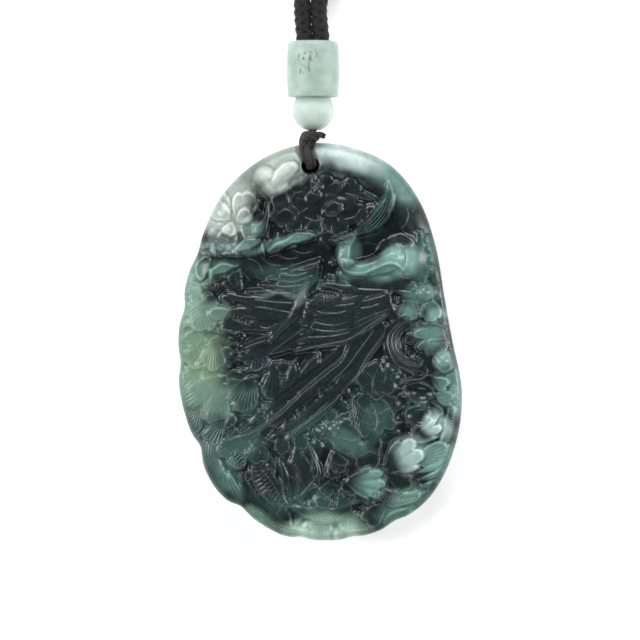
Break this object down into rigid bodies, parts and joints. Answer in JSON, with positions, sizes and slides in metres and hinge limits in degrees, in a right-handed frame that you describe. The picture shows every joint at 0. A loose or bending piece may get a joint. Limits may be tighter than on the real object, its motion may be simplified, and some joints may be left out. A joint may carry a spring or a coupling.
{
  "type": "carved jade pendant plaque with cord",
  "caption": "Oval jade pendant carved in relief with a phoenix among peonies, on a dark thread with a round and a barrel jade bead and a coiled braided cord.",
  "frame": {"origin": "middle of the plaque's flat back, on the surface it lies on", "axes": "+Z out of the carved face, +Y along the plaque towards its cord, +X to the right as seen"},
  "size_m": [0.0554, 0.1248, 0.0092],
  "materials": {
    "dark_jade": "polished",
    "pale_jade": "polished",
    "speckled_jade": "polished",
    "thread": "twisted",
    "braid": "braided"
  },
  "bodies": {
    "root": {"jade_plaque": "dark_jade", "hanging_thread": "thread", "round_bead": "pale_jade", "barrel_bead": "speckled_jade", "cord_lead_left": "braid", "cord_lead_right": "braid", "cord_coil": "braid"}
  },
  "joints": []
}
